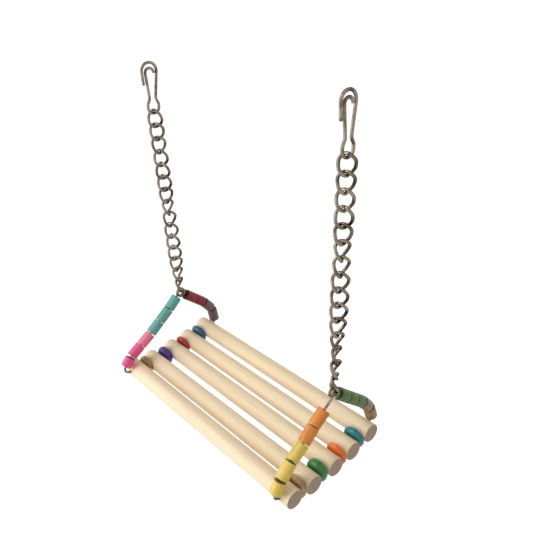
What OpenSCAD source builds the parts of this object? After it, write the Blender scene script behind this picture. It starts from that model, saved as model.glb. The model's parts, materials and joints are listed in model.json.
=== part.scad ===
// A hanging bench for a cage bird: five wooden dowels threaded side by side on two bent wire frames,
// with wooden beads between them and up both legs of each frame. Each frame hangs on a curb chain
// from a spring wire hook. Millimetres, +Z up, +X from the left hook to the right one and +Y to the
// rear. The origin is midway between the places where the two hooks bear on the bar that they hang from.

/* [Dowels] */
// Diameter of each dowel of the seat
dowel_d = 12; // [9:0.5:15]
// Length of each dowel
dowel_len = 174; // [168:1:260]
// Size of the rounded edge at each end of a dowel
dowel_edge = 0.6; // [0.2:0.1:1.5]
// Bore of the holes through which the frame wires pass
hole_d = 2.6; // [2.2:0.1:3.4]
// Radius of the shallow arc in which the row of dowels lies
row_r = 188.4; // [150:1:260]

/* [Spacer beads] */
// Diameter of the round beads between the dowels
spacer_d = 14.5; // [12:0.5:18]
// Thickness of these beads, one for each gap from front to rear
spacer_t = [3.2, 5.8, 3.2, 4.2]; // [2.6:0.1:8]
// Free play of a bead between its two dowels, on each side
spacer_play = 0.1; // [0.05:0.01:0.3]

/* [Leg beads] */
// Diameter of the tube-shaped beads on the legs of the frames
bead_d = 7.6; // [6:0.1:9]
// Lengths of the beads of the front left leg, from the bottom up
front_left_len = [7.2, 10.2, 10.5, 10.5, 10.7, 10.5]; // [6:0.1:11]
// Lengths of the beads of the rear left leg
rear_left_len = [9.8, 9.8, 9.8, 9.8]; // [6:0.1:11]
// Lengths of the beads of the front right leg
front_right_len = [8.2, 10.8, 10.8, 10.4, 10.4]; // [6:0.1:11]
// Lengths of the beads of the rear right leg
rear_right_len = [8.8, 8.8, 8.8, 8.8, 8.8]; // [6:0.1:11]
// Size of the rounded edge of a leg bead
bead_edge = 0.7; // [0.3:0.1:1.2]
// Bore of the leg beads and the spacer beads
bead_bore = 2.6; // [2.2:0.1:3.4]
// Gap between two leg beads where they come closest
bead_gap = 0.3; // [0.1:0.05:0.6]

/* [Wire frames] */
// Thickness of the frame wire
wire_d = 1.5; // [1:0.1:1.8]
// Distance of each frame from the ends of the dowels
wire_inset = 7; // [5:0.5:20]
// Bare wire between the row of dowels and the bend of a front leg
front_lead = 0.4; // [0.2:0.1:3]
// The same at the rear of the left and the right frame
rear_lead = [0.6, 0.8]; // [0.4:0.1:3]
// Radius of the front bend of the left and the right frame
front_bend_r = [3.6, 3]; // [3:0.1:6]
// Radius of the rear bend of both frames
rear_bend_r = 2.4; // [1.5:0.1:4]
// Bare wire between the bend of a leg and its lowest bead
low_clear = 0.2; // [0.1:0.1:1]
// Slopes from level of the beads of the front left leg, from the bottom up
front_left_slope = [42, 27, 27, 32, 32, 33]; // [20:1:60]
// Slopes of the beads of the rear left leg
rear_left_slope = [94, 124, 134, 134]; // [88:1:140]
// Slopes of the beads of the front right leg
front_right_slope = [53, 40, 31, 37, 36]; // [20:1:60]
// Slopes of the beads of the rear right leg
rear_right_slope = [104, 126, 135, 135, 135]; // [88:1:140]
// Radius of the slight bends between two beads of a leg
kink_r = 4; // [2:0.5:6]
// Bare wire above the top bead of the front left, rear left, front right and rear right leg
top_bare = [0.1, 0.1, 6.8, 0.2]; // [0.1:0.1:9]
// Radius of the wire eye at the end of each leg
eye_r = 2.9; // [2.6:0.1:3.4]
// Radius of the small turn from a leg into its eye
eye_turn_r = 2; // [1.5:0.1:3]
// Distance of each of the two eyes from the frame's plane
eye_split = 0.9; // [0.9:0.05:1.1]

/* [Chains] */
// Thickness of the chain wire
link_wire = 1.85; // [1.4:0.05:2]
// Outside length of a link
link_len = 12.7; // [11:0.1:16]
// Outside width of a link
link_w = 10.3; // [9:0.1:12]
// Play between a link and what it hangs on
link_play = 0.2; // [0.1:0.05:0.4]

/* [Hooks] */
// Thickness of the hook wire
hook_wire = 1.8; // [1.4:0.1:1.9]
// Distance from the bearing of a hook down to the wire of its eye
hook_drop = 26.9; // [24:0.1:36]
// Width of a hook's eye between the middles of its wire
hook_eye_w = 8.2; // [7.6:0.1:10]
// Straight wire left between the two bends at the bottom of the eye
hook_eye_flat = 0.6; // [0.4:0.1:2]
// Gap between the two legs above the eye, between the middles of the wire
hook_waist_w = 4.4; // [3.8:0.1:5.6]
// Height of this waist above the wire of the eye
hook_waist_rise = 9; // [8:0.1:12]
// Height over which the legs close in from the eye to the waist
hook_shoulder = 3.1; // [2.5:0.1:4]
// Radius of the bends at the waist
hook_waist_bend = 4; // [2:0.5:6]
// Radius of the bends at the shoulders
hook_shoulder_bend = 3; // [2:0.5:4]
// Width of the outer crook between the middles of its wire
hook_crook_w = 12; // [11.8:0.1:14]
// Part of this width that the radii of its two bends leave
hook_crook_flat = 1.8; // [1.6:0.1:3]
// How far the outer crook sits ahead of the hook's middle
hook_crook_shift = 0.2; // [0:0.1:1]
// Height of the outer crook above the inner one
hook_crook_rise = 3.4; // [2.6:0.1:5]
// Length of the free tail of the outer crook
hook_tail = 13.3; // [9:0.1:16]
// How far the end of the tail leans in
hook_tail_lean = 0.6; // [0:0.1:2]
// Distance of the inner crook from the tail, between the middles of the wire
hook_inner_front = 2.5; // [2:0.1:4]
// The same from the rear of the outer crook
hook_inner_rear = 3.2; // [2:0.1:4]
// Radius of the bends of the inner crook
hook_inner_bend = 2.8; // [2:0.1:3]
// Length of the tip that the inner crook turns down
hook_tip = 3.2; // [3:0.1:5]

/* [Hang] */
// Tilt of the row of dowels, with its rear edge raised
seat_pitch = 7.2; // [0:0.1:12]
// Twist of the row about the vertical, away from the line of the two hooks
seat_yaw = -2; // [-4:0.1:4]

/* [Hidden] */
// Each frame's side along X, left first
SIDE = [-1, 1];
// Turn of each link about its chain from the top, chosen by eye, with both ends fixed by their pivots
LINK_TURN = [
    [45, 65, 75, 50, 40, 55, 80, 110, 85, 60, 45, 55, 85, 115, 135],
    [45, 55, 45, 35, 55, 85, 75, 55, 45, 55, 75, 100, 120, 115, 135],
];
// A link's rings of points, and the sides of each ring
LINK_RINGS = 24;
LINK_SIDES = 8;
// The sides of a bent wire, and the most that it turns and runs on between two rings of points
WIRE_SIDES = 10;
WIRE_STEP = 20;
WIRE_RUN = 8;
// A turn below which a wire is taken to run straight on
WIRE_STRAIGHT = 0.5;
// How far round its circle a wire eye goes
EYE_ARC = 296;
// The share of a spacer bead's thickness that each of its rounded edges takes
SPACER_RIM = 0.45;

// The dowels' places along the arc, as angles
gap_angle = [for (t = spacer_t) (dowel_d + t + 2 * spacer_play) / row_r * 180 / PI];
function angle_sum(n) = n == 0 ? 0 : gap_angle[n - 1] + angle_sum(n - 1);
dowel_count = len(spacer_t) + 1;
row_half = angle_sum(dowel_count - 1) / 2;
dowel_angle = [for (i = [0:dowel_count - 1]) angle_sum(i) - row_half];
function on_arc(a) = [row_r * sin(a), row_r * (1 - cos(a))];

// The straight stretch at each end of the row, in a frame's plane as rearward and upward places
end_slope = row_half + asin(dowel_d / 2 / row_r);
arc_reach = row_r * tan(end_slope);
arc_corner = [0, row_r * (1 - 1 / cos(end_slope))];
function heading(a) = [cos(a), sin(a)];
function bend_reach(r, turn) = r * tan(turn / 2);

// The four legs: front left, rear left, front right and rear right
bead_len = [front_left_len, rear_left_len, front_right_len, rear_right_len];
bead_slope = [front_left_slope, rear_left_slope, front_right_slope, rear_right_slope];
BEADS = [for (lens = bead_len) len(lens)];
function is_rear(leg) = leg % 2 == 1;
function side_of(leg) = leg < 2 ? 0 : 1;
function leg_bend_r(leg) = is_rear(leg) ? rear_bend_r : front_bend_r[side_of(leg)];
function leg_lead(leg) = is_rear(leg) ? rear_lead[side_of(leg)] : front_lead;
function row_end(leg) = is_rear(leg) ? end_slope : 180 - end_slope;

// The bare wire below and above each bead of a leg, up to the next corner of the wire
eye_reach = sqrt(pow(eye_r + eye_turn_r, 2) - pow(eye_turn_r, 2));
function corner_clear(turn) =
    (bead_gap / 2 + bead_edge + (bead_d / 2 - bead_edge) * sin(turn / 2)) / cos(turn / 2) - bead_edge;
function kink_clear(leg, n) = corner_clear(abs(bead_slope[leg][n + 1] - bead_slope[leg][n]));
function below(leg, n) = n == 0 ? low_clear : kink_clear(leg, n - 1);
function above(leg, n) = n == BEADS[leg] - 1 ? top_bare[leg] + eye_reach : kink_clear(leg, n);
function stretch(leg, n) = below(leg, n) + bead_len[leg][n] + above(leg, n);

// The corners of each leg from its first kink to the middle of its eye, before the leg is turned
function flat_stretch(leg, n) =
    n == BEADS[leg] - 1 ? sqrt(pow(stretch(leg, n), 2) - pow(eye_split, 2)) : stretch(leg, n);
function arm(leg, n) =
    n == 0 ? [0, 0] : arm(leg, n - 1) + flat_stretch(leg, n) * heading(bead_slope[leg][n]);
low_reach = [
    for (leg = [0:3]) bend_reach(leg_bend_r(leg), abs(row_end(leg) - bead_slope[leg][0]))
];
low_corner = [
    for (leg = [0:3]) arc_corner + (arc_reach + leg_lead(leg) + low_reach[leg]) * heading(row_end(leg))
];
first_kink = [
    for (leg = [0:3]) low_corner[leg] + (low_reach[leg] + stretch(leg, 0)) * heading(bead_slope[leg][0])
];
leg_span = [for (leg = [0:3]) arm(leg, BEADS[leg] - 1)];

// The two legs of a frame turn about their first kinks until their eyes meet
function meet(front, rear) =
    let (apart = first_kink[rear] - first_kink[front], d = norm(apart),
        ahead = (leg_span[front] * leg_span[front] - leg_span[rear] * leg_span[rear] + d * d) / (2 * d),
        up = sqrt(leg_span[front] * leg_span[front] - ahead * ahead))
    first_kink[front] + (ahead * apart + up * [-apart[1], apart[0]]) / d;
eyes_at = [meet(0, 1), meet(2, 3)];
function flat_angle(v) = atan2(v[1], v[0]);
leg_turn = [
    for (leg = [0:3]) flat_angle(eyes_at[side_of(leg)] - first_kink[leg]) - flat_angle(leg_span[leg])
];
function flat_turn(p, a) = [p[0] * cos(a) - p[1] * sin(a), p[0] * sin(a) + p[1] * cos(a)];

// The same places in the seat's space
wire_x = dowel_len / 2 - wire_inset;
function in_frame(s, p) = [SIDE[s] * wire_x, p[0], p[1]];
function unit(v) = v / norm(v);
function eye_centre(leg) =
    in_frame(side_of(leg), eyes_at[side_of(leg)])
    + [SIDE[side_of(leg)] * (is_rear(leg) ? -1 : 1) * eye_split, 0, 0];
function leg_corner(leg, n) = n == BEADS[leg] - 1
    ? eye_centre(leg)
    : in_frame(side_of(leg), first_kink[leg] + flat_turn(arm(leg, n), leg_turn[leg]));
function leg_dir(leg) = unit(eye_centre(leg) - leg_corner(leg, BEADS[leg] - 2));
function leg_end(leg) = eye_centre(leg) - eye_reach * leg_dir(leg);
function frame_points(s) = [
    leg_end(2 * s),
    for (n = [BEADS[2 * s] - 2:-1:0]) leg_corner(2 * s, n),
    in_frame(s, low_corner[2 * s]),
    in_frame(s, arc_corner),
    in_frame(s, low_corner[2 * s + 1]),
    for (n = [0:BEADS[2 * s + 1] - 2]) leg_corner(2 * s + 1, n),
    leg_end(2 * s + 1),
];
function frame_radii(s) = [
    0,
    for (n = [2:BEADS[2 * s]]) kink_r,
    leg_bend_r(2 * s),
    row_r,
    leg_bend_r(2 * s + 1),
    for (n = [2:BEADS[2 * s + 1]]) kink_r,
    0,
];
eye_drop = eye_r - wire_d / 2 - link_wire / 2 - link_play;
function apex(s) = in_frame(s, eyes_at[s] + [0, eye_drop]);

// Where a leg bead sits, as its centre and its direction
function low_bead(leg) =
    let (dir = heading(bead_slope[leg][0]),
        p = low_corner[leg] + (low_reach[leg] + low_clear + bead_len[leg][0] / 2) * dir)
    [in_frame(side_of(leg), p), [0, dir[0], dir[1]]];
function high_bead(leg, n) =
    let (from = leg_corner(leg, n - 1), dir = unit(leg_corner(leg, n) - from))
    [from + (below(leg, n) + bead_len[leg][n] / 2) * dir, dir];
function bead_place(leg, n) = n == 0 ? low_bead(leg) : high_bead(leg, n);

// The chains: each link hangs one pitch below the last, and both chains reach the same level
link_reach = link_len - link_wire;
link_pitch = link_reach - link_wire - link_play;
link_count = len(LINK_TURN[0]);
chain_drop = (link_count - 1) * link_pitch + link_reach;
chain_top = -hook_drop + hook_wire / 2 + link_wire / 2 + link_play;

// How the seat hangs: its roll brings both chains' feet level, and the rest follows from the two apexes
apex_span = apex(1) - apex(0);
span_y = apex_span[1] * cos(seat_pitch) - apex_span[2] * sin(seat_pitch);
span_z = apex_span[1] * sin(seat_pitch) + apex_span[2] * cos(seat_pitch);
seat_roll = atan(span_z / apex_span[0]);
foot_span = flat_turn([norm([apex_span[0], span_z]), span_y], seat_yaw);
hook_x = foot_span[0] / 2;
chain_lean = asin(foot_span[1] / 2 / chain_drop);
function seat_turn(p) =
    let (y = p[1] * cos(seat_pitch) - p[2] * sin(seat_pitch),
        z = p[1] * sin(seat_pitch) + p[2] * cos(seat_pitch),
        level = flat_turn([p[0] * cos(seat_roll) + z * sin(seat_roll), y], seat_yaw))
    [level[0], level[1], z * cos(seat_roll) - p[0] * sin(seat_roll)];
function chain_foot(s) =
    [SIDE[s] * hook_x, SIDE[s] * chain_drop * sin(chain_lean), chain_top - chain_drop * cos(chain_lean)];
seat_at = chain_foot(0) - seat_turn(apex(0));

BEAD_NAMES = ["left_front_bead_", "left_rear_bead_", "right_front_bead_", "right_rear_bead_"];

// The finishes, front to rear for the spacers and from the bottom up for the leg beads
METAL = "silver";
SPACER_COLOURS = [["burlywood", "indigo", "crimson", "teal"], ["burlywood", "seagreen", "darkorange", "darkcyan"]];
BEAD_COLOURS = [
    ["hotpink", "hotpink", "hotpink", "cadetblue", "cadetblue", "cadetblue"],
    ["dimgray", "dimgray", "maroon", "maroon"],
    ["gold", "gold", "gold", "darkorange", "darkorange"],
    ["sienna", "sienna", "darkolivegreen", "darkolivegreen", "darkolivegreen"],
];

// Places what is drawn in the seat's own space
module on_seat() {
    translate(seat_at) rotate([seat_pitch, seat_roll, seat_yaw]) children();
}

// Turns the Z axis to a direction and moves the origin to a point
module along(p, dir) {
    translate(p)
        rotate([0, acos(dir[2] / norm(dir)), atan2(dir[1], dir[0])])
            children();
}

// A solid skin over rings of points, either closed on itself or with a flat cap at each end
module skin(rings, closed) {
    sides = len(rings[0]);
    count = len(rings);
    function at(i, j) = (i % count) * sides + j % sides;
    walls = [
        for (i = [0:count - (closed ? 1 : 2)]) for (j = [0:sides - 1])
            each [[at(i, j), at(i + 1, j), at(i + 1, j + 1)], [at(i, j), at(i + 1, j + 1), at(i, j + 1)]]
    ];
    caps = closed ? [] : [
        [for (j = [0:sides - 1]) at(0, j)],
        [for (j = [sides - 1:-1:0]) at(count - 1, j)],
    ];
    polyhedron([for (ring = rings) each ring], concat(walls, caps));
}

// A ring of points about a place on a wire, square to its heading
function wire_ring(p, dir, across, d, sides) =
    let (n = unit(cross(dir, across)), b = cross(n, dir))
    [for (j = [0:sides - 1]) let (q = 360 * j / sides) p + d / 2 * (cos(q) * n + sin(q) * b)];

// The places along a bend that starts with a heading and turns towards a normal
function bend_points(start, dir, normal, r, angle) =
    let (steps = max(2, ceil(angle / WIRE_STEP), ceil(r * angle * PI / 180 / WIRE_RUN)))
    [for (i = [0:steps]) let (q = angle * i / steps) start + r * (sin(q) * dir + (1 - cos(q)) * normal)];
function bend_dir(dir, normal, angle) = cos(angle) * dir + sin(angle) * normal;

// The places along a line of corners, each rounded to its own radius
function rounded_line(points, radii) = [
    points[0],
    for (i = [1:len(points) - 2])
        let (u = unit(points[i] - points[i - 1]), v = unit(points[i + 1] - points[i]),
            turn = acos(min(1, u * v)))
        if (turn > WIRE_STRAIGHT)
            each bend_points(
                points[i] - bend_reach(radii[i], turn) * u, u, unit(v - (v * u) * u), radii[i], turn
            ),
    points[len(points) - 1],
];

// A wire bent mostly in the plane across the dowels, with each ring square to both of its neighbours
function wire_dir(points, i) =
    let (last = len(points) - 1,
        back = i == 0 ? [0, 0, 0] : unit(points[i] - points[i - 1]),
        ahead = i == last ? [0, 0, 0] : unit(points[i + 1] - points[i]))
    unit(back + ahead);
module wire(points, d) {
    skin([
        for (i = [0:len(points) - 1]) wire_ring(points[i], wire_dir(points, i), [1, 0, 0], d, WIRE_SIDES)
    ], false);
}

// The section of a turned piece with rounded edges, for turning about its axis
module turned_section(r_in, r_out, h, edge) {
    corner = [for (a = [0:15:90]) [r_out - edge + edge * sin(a), edge * (1 - cos(a)) - h / 2]];
    polygon(concat(
        [[r_in, -h / 2]],
        corner,
        [for (i = [len(corner) - 1:-1:0]) [corner[i][0], -corner[i][1]]],
        [[r_in, h / 2]]
    ));
}
module turned(r_in, r_out, h, edge) {
    rotate_extrude($fn = 48) turned_section(r_in, r_out, h, edge);
}

// A dowel across the seat, drilled for both frame wires
module dowel(i) {
    c = on_arc(dowel_angle[i]);
    color("wheat")
        on_seat() translate([0, c[0], c[1]])
            difference() {
                rotate([0, 90, 0]) turned(0, dowel_d / 2, dowel_len, dowel_edge);
                for (x = SIDE * wire_x)
                    translate([x, 0, 0])
                        rotate([dowel_angle[i] - 90, 0, 0])
                            cylinder(h = 2 * dowel_d, d = hole_d, center = true, $fn = 24);
            }
}

// A round bead on the wire between two dowels
module spacer(s, i) {
    a = (dowel_angle[i] + dowel_angle[i + 1]) / 2;
    color(SPACER_COLOURS[s][i])
        on_seat() translate(in_frame(s, on_arc(a)))
            rotate([a - 90, 0, 0])
                turned(bead_bore / 2, spacer_d / 2, spacer_t[i], SPACER_RIM * spacer_t[i]);
}

// A tube-shaped bead on a leg of a frame, counted from the bottom
module leg_bead(leg, n) {
    place = bead_place(leg, n);
    color(BEAD_COLOURS[leg][n])
        on_seat() along(place[0], place[1])
            turned(bead_bore / 2, bead_d / 2, bead_len[leg][n], bead_edge);
}

// The open eye that ends a leg, turned over the top first
function leg_eye(leg) =
    let (dir = leg_dir(leg), up = unit([0, 0, 1] - dir[2] * dir),
        turn = acos(eye_turn_r / (eye_r + eye_turn_r)),
        small = bend_points(leg_end(leg), dir, up, eye_turn_r, turn),
        round_dir = bend_dir(dir, up, turn),
        big = bend_points(small[len(small) - 1], round_dir, sin(turn) * dir - cos(turn) * up, eye_r, EYE_ARC))
    [for (i = [1:len(small) - 1]) small[i], for (i = [1:len(big) - 1]) big[i]];

// One frame: a single wire from eye to eye, down the front leg, through the dowels and up the rear leg
module frame_wire(s) {
    front_eye = leg_eye(2 * s);
    color(METAL)
        on_seat() wire(concat(
            [for (i = [len(front_eye) - 1:-1:0]) front_eye[i]],
            rounded_line(frame_points(s), frame_radii(s)),
            leg_eye(2 * s + 1)
        ), wire_d);
}

// A spring wire hook, in the plane across the dowels, with its eye at the bottom
module hook(s) {
    waist_z = -hook_drop + hook_waist_rise;
    eye_side_z = waist_z - hook_shoulder;
    crook_z = hook_wire / 2 + hook_crook_rise;
    rear_y = hook_crook_w / 2 - hook_crook_shift;
    tail_y = rear_y - hook_crook_w;
    inner_y = tail_y + hook_inner_front;
    tip_y = rear_y - hook_inner_rear;
    corners = [
        [tail_y + hook_tail_lean, crook_z - hook_tail],
        [tail_y, crook_z],
        [rear_y, crook_z],
        [hook_waist_w / 2, waist_z],
        [hook_eye_w / 2, eye_side_z],
        [hook_eye_w / 2, -hook_drop],
        [-hook_eye_w / 2, -hook_drop],
        [-hook_eye_w / 2, eye_side_z],
        [-hook_waist_w / 2, waist_z],
        [inner_y, hook_wire / 2],
        [tip_y, hook_wire / 2],
        [tip_y, hook_wire / 2 - hook_tip],
    ];
    crook_bend = (hook_crook_w - hook_crook_flat) / 2;
    eye_bend = (hook_eye_w - hook_eye_flat) / 2;
    radii = [
        0, crook_bend, crook_bend, hook_waist_bend, hook_shoulder_bend, eye_bend,
        eye_bend, hook_shoulder_bend, hook_waist_bend, hook_inner_bend, hook_inner_bend, 0,
    ];
    color(METAL)
        translate([SIDE[s] * hook_x, 0, 0])
            wire(rounded_line([for (c = corners) [0, c[0], c[1]]], radii), hook_wire);
}

// The middle line of a twisted link: an oval whose plane turns by a right angle from top to bottom
link_round = (link_w - link_wire) / 2;
link_straight = link_reach - 2 * link_round;
link_line = 2 * PI * link_round + 2 * link_straight;
function oval(d) =
    let (half = PI * link_round, a = (d % (half + link_straight)) / link_round * 180 / PI,
        lower = d >= half + link_straight,
        p = a < 180
            ? [link_round * cos(a), link_straight / 2 + link_round * sin(a)]
            : [-link_round, link_straight / 2 - (d % (half + link_straight) - half)])
    lower ? -p : p;
function link_point(d, turn) =
    let (p = oval(d), a = turn - 90 * p[1] / link_reach)
    [p[0] * cos(a), p[0] * sin(a), p[1] - link_reach / 2];
function link_ring(i, turn) =
    let (d = i * link_line / LINK_RINGS, near = link_wire / 100,
        ahead = link_point((d + near) % link_line, turn),
        behind = link_point((d + link_line - near) % link_line, turn),
        a = turn - 90 * oval(d)[1] / link_reach)
    wire_ring(link_point(d, turn), unit(ahead - behind), [-sin(a), cos(a), 0], link_wire, LINK_SIDES);
module link(turn) {
    skin([for (i = [0:LINK_RINGS - 1]) link_ring(i, turn)], true);
}

// Links of a chain from the first to the last, counted from the hook
module links(s, first, last) {
    color(METAL)
        translate([SIDE[s] * hook_x, 0, chain_top])
            rotate([SIDE[s] * chain_lean, 0, 0])
                for (i = [first:last])
                    translate([0, 0, -i * link_pitch]) link(LINK_TURN[s][i]);
}
module top_link(s) links(s, 0, 0);
module chain_run(s) links(s, 1, link_count - 2);
module bottom_link(s) links(s, link_count - 1, link_count - 1);

hook(0);  // left_hook
hook(1);  // right_hook
top_link(0);  // left_top_link
chain_run(0);  // left_chain
bottom_link(0);  // left_bottom_link
top_link(1);  // right_top_link
chain_run(1);  // right_chain
bottom_link(1);  // right_bottom_link
frame_wire(0);  // left_frame_wire
frame_wire(1);  // right_frame_wire
for (i = [1:5])
    dowel(i - 1);
for (i = [1:4])
    spacer(0, i - 1);
for (i = [1:4])
    spacer(1, i - 1);
for (leg = [0:3]) for (i = [1:BEADS[leg]])
    leg_bead(leg, i - 1);
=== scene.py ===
"""A hanging bench for a cage bird: dowels, beads, bent wires, chains and hooks, with their finishes.

Lengths are in metres, +Z up, +X along the dowels and +Y to the rear. The origin is midway between the
places where the two hooks bear on the bar that they hang from.
"""

import json
import math

import bmesh
import bpy
from bpy.props import FloatProperty, FloatVectorProperty, PointerProperty
from mathutils import Color, Euler, Matrix, Vector

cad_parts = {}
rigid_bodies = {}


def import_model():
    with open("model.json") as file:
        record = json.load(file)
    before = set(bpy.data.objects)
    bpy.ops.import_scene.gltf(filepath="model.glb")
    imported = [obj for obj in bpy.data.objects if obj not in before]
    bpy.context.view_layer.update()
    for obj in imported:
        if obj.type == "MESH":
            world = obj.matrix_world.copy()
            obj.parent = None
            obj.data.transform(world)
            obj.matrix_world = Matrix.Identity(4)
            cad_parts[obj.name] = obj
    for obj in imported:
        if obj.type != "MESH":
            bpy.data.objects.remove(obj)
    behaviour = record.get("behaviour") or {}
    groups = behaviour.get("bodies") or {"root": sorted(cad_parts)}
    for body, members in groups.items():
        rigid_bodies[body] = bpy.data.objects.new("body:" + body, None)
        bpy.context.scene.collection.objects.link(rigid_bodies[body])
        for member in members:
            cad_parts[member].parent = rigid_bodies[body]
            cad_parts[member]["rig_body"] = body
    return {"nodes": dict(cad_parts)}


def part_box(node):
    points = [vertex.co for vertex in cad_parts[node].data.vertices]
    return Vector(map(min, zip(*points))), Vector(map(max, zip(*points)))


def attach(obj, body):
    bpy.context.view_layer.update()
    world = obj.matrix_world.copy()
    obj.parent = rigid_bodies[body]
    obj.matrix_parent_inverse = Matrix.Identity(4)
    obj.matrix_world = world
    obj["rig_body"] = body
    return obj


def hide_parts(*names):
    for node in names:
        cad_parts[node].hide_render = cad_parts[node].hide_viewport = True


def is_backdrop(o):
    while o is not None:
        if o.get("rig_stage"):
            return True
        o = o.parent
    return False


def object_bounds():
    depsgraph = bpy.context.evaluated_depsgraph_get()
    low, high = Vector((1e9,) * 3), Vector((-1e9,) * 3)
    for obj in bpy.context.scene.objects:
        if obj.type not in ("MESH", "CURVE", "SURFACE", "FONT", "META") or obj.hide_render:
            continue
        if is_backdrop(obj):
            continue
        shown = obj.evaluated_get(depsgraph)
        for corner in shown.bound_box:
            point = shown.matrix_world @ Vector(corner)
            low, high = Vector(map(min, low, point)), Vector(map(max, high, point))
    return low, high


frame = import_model()

bl_info = {
    "name": "Bird Swing Bench",
    "version": (1, 0, 0),
    "blender": (4, 5, 0),
    "location": "3D View > Sidebar > Bird Swing",
    "description": "Builds a hanging bench for a cage bird with its wood, bead and wire finishes",
    "category": "Object",
}

MM = 0.001
SIDES = ("left", "right")
OUTWARD = (-1, 1)
LEGS = ("left_front", "left_rear", "right_front", "right_rear")
DOWEL_COUNT = 5
LINK_COUNT = 15

# The turn of each link about its chain in degrees, from the top, for the left and the right chain
LINK_TURNS = (
    (45, 65, 75, 50, 40, 55, 80, 110, 85, 60, 45, 55, 85, 115, 135),
    (45, 55, 45, 35, 55, 85, 75, 55, 45, 55, 75, 100, 120, 115, 135),
)

# The colours of the spacer beads from front to rear, and of the leg beads from the bottom up
SPACER_COLOURS = (
    ("natural_bead", "purple_bead", "red_bead", "blue_bead"),
    ("natural_bead", "green_bead", "orange_spacer", "teal_bead"),
)
LEG_COLOURS = (
    ("pink_bead",) * 2 + ("pale_pink_bead",) + ("aqua_bead",) * 3,
    ("mauve_bead",) * 2 + ("maroon_bead",) * 2,
    ("yellow_bead",) * 3 + ("orange_bead",) * 2,
    ("tan_bead",) * 2 + ("dark_green_bead",) * 3,
)

BEADS_UP = "Bead lengths from the bottom up"
SLOPES_UP = "Slopes of the beads from the bottom up"


def length(name, description, millimetres):
    """A size, stated in millimetres and kept in metres."""
    return FloatProperty(
        name=name, description=description, default=millimetres * MM, min=0.0, unit="LENGTH", precision=5
    )


def lengths(name, description, *millimetres):
    """Several sizes of one kind."""
    metres = [value * MM for value in millimetres]
    return FloatVectorProperty(
        name=name, description=description, default=metres, size=len(metres), unit="LENGTH", precision=5
    )


def angle(name, description, degrees):
    """An angle, stated in degrees and kept in radians."""
    return FloatProperty(name=name, description=description, default=math.radians(degrees), subtype="ANGLE")


def angles(name, description, *degrees):
    """Several angles of one kind."""
    radians = [math.radians(value) for value in degrees]
    return FloatVectorProperty(name=name, description=description, default=radians, size=len(radians))


def amount(name, description, value):
    """A plain number."""
    return FloatProperty(name=name, description=description, default=value)


def colour(name, description, red, green, blue):
    """A colour, stated as it shows on a screen, each part from 0 to 255."""
    return FloatVectorProperty(
        name=name,
        description=description,
        default=(red / 255, green / 255, blue / 255),
        min=0.0,
        max=1.0,
        subtype="COLOR_GAMMA",
    )


def lacquer(name, red, green, blue):
    """The colour of a lacquered spacer bead."""
    return colour(f"{name} spacer", f"{name} lacquer of a spacer bead", red, green, blue)


def dye(name, red, green, blue):
    """The colour of a dyed leg bead."""
    return colour(f"{name} bead", f"{name} dye of a leg bead", red, green, blue)


class SeatSizes(bpy.types.PropertyGroup):
    """Sizes of the dowels and of the beads."""

    dowel_d: length("Dowel diameter", "Diameter of each dowel of the seat", 12)
    dowel_len: length("Dowel length", "Length of each dowel", 174)
    dowel_edge: length("Dowel edge", "Size of the rounded edge at each end of a dowel", 0.6)
    hole_d: length("Hole", "Bore of the holes through which the frame wires pass", 2.6)
    row_r: length("Row radius", "Radius of the shallow arc in which the row of dowels lies", 188.4)
    spacer_d: length("Spacer diameter", "Diameter of the round beads between the dowels", 14.5)
    spacer_t: lengths("Spacer thickness", "Thickness of these beads from front to rear", 3.2, 5.8, 3.2, 4.2)
    spacer_play: length("Spacer play", "Free play of a spacer bead on each side", 0.1)
    bead_d: length("Bead diameter", "Diameter of the tube-shaped beads on the legs", 7.6)
    front_left_len: lengths("Front left beads", BEADS_UP, 7.2, 10.2, 10.5, 10.5, 10.7, 10.5)
    rear_left_len: lengths("Rear left beads", BEADS_UP, 9.8, 9.8, 9.8, 9.8)
    front_right_len: lengths("Front right beads", BEADS_UP, 8.2, 10.8, 10.8, 10.4, 10.4)
    rear_right_len: lengths("Rear right beads", BEADS_UP, 8.8, 8.8, 8.8, 8.8, 8.8)
    bead_edge: length("Bead edge", "Size of the rounded edge of a leg bead", 0.7)
    bead_crisp: length("Bead crispness", "Size of the edge that shows on a leg bead's dyed skin", 0.5)
    bead_bore: length("Bead bore", "Bore of all the beads", 2.6)
    bead_gap: length("Bead gap", "Gap between two leg beads where they come closest", 0.3)
    seat_pitch: angle("Seat pitch", "Tilt of the row of dowels, with its rear edge raised", 7.2)
    seat_yaw: angle("Seat yaw", "Twist of the row away from the line of the two hooks", -2)


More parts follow.
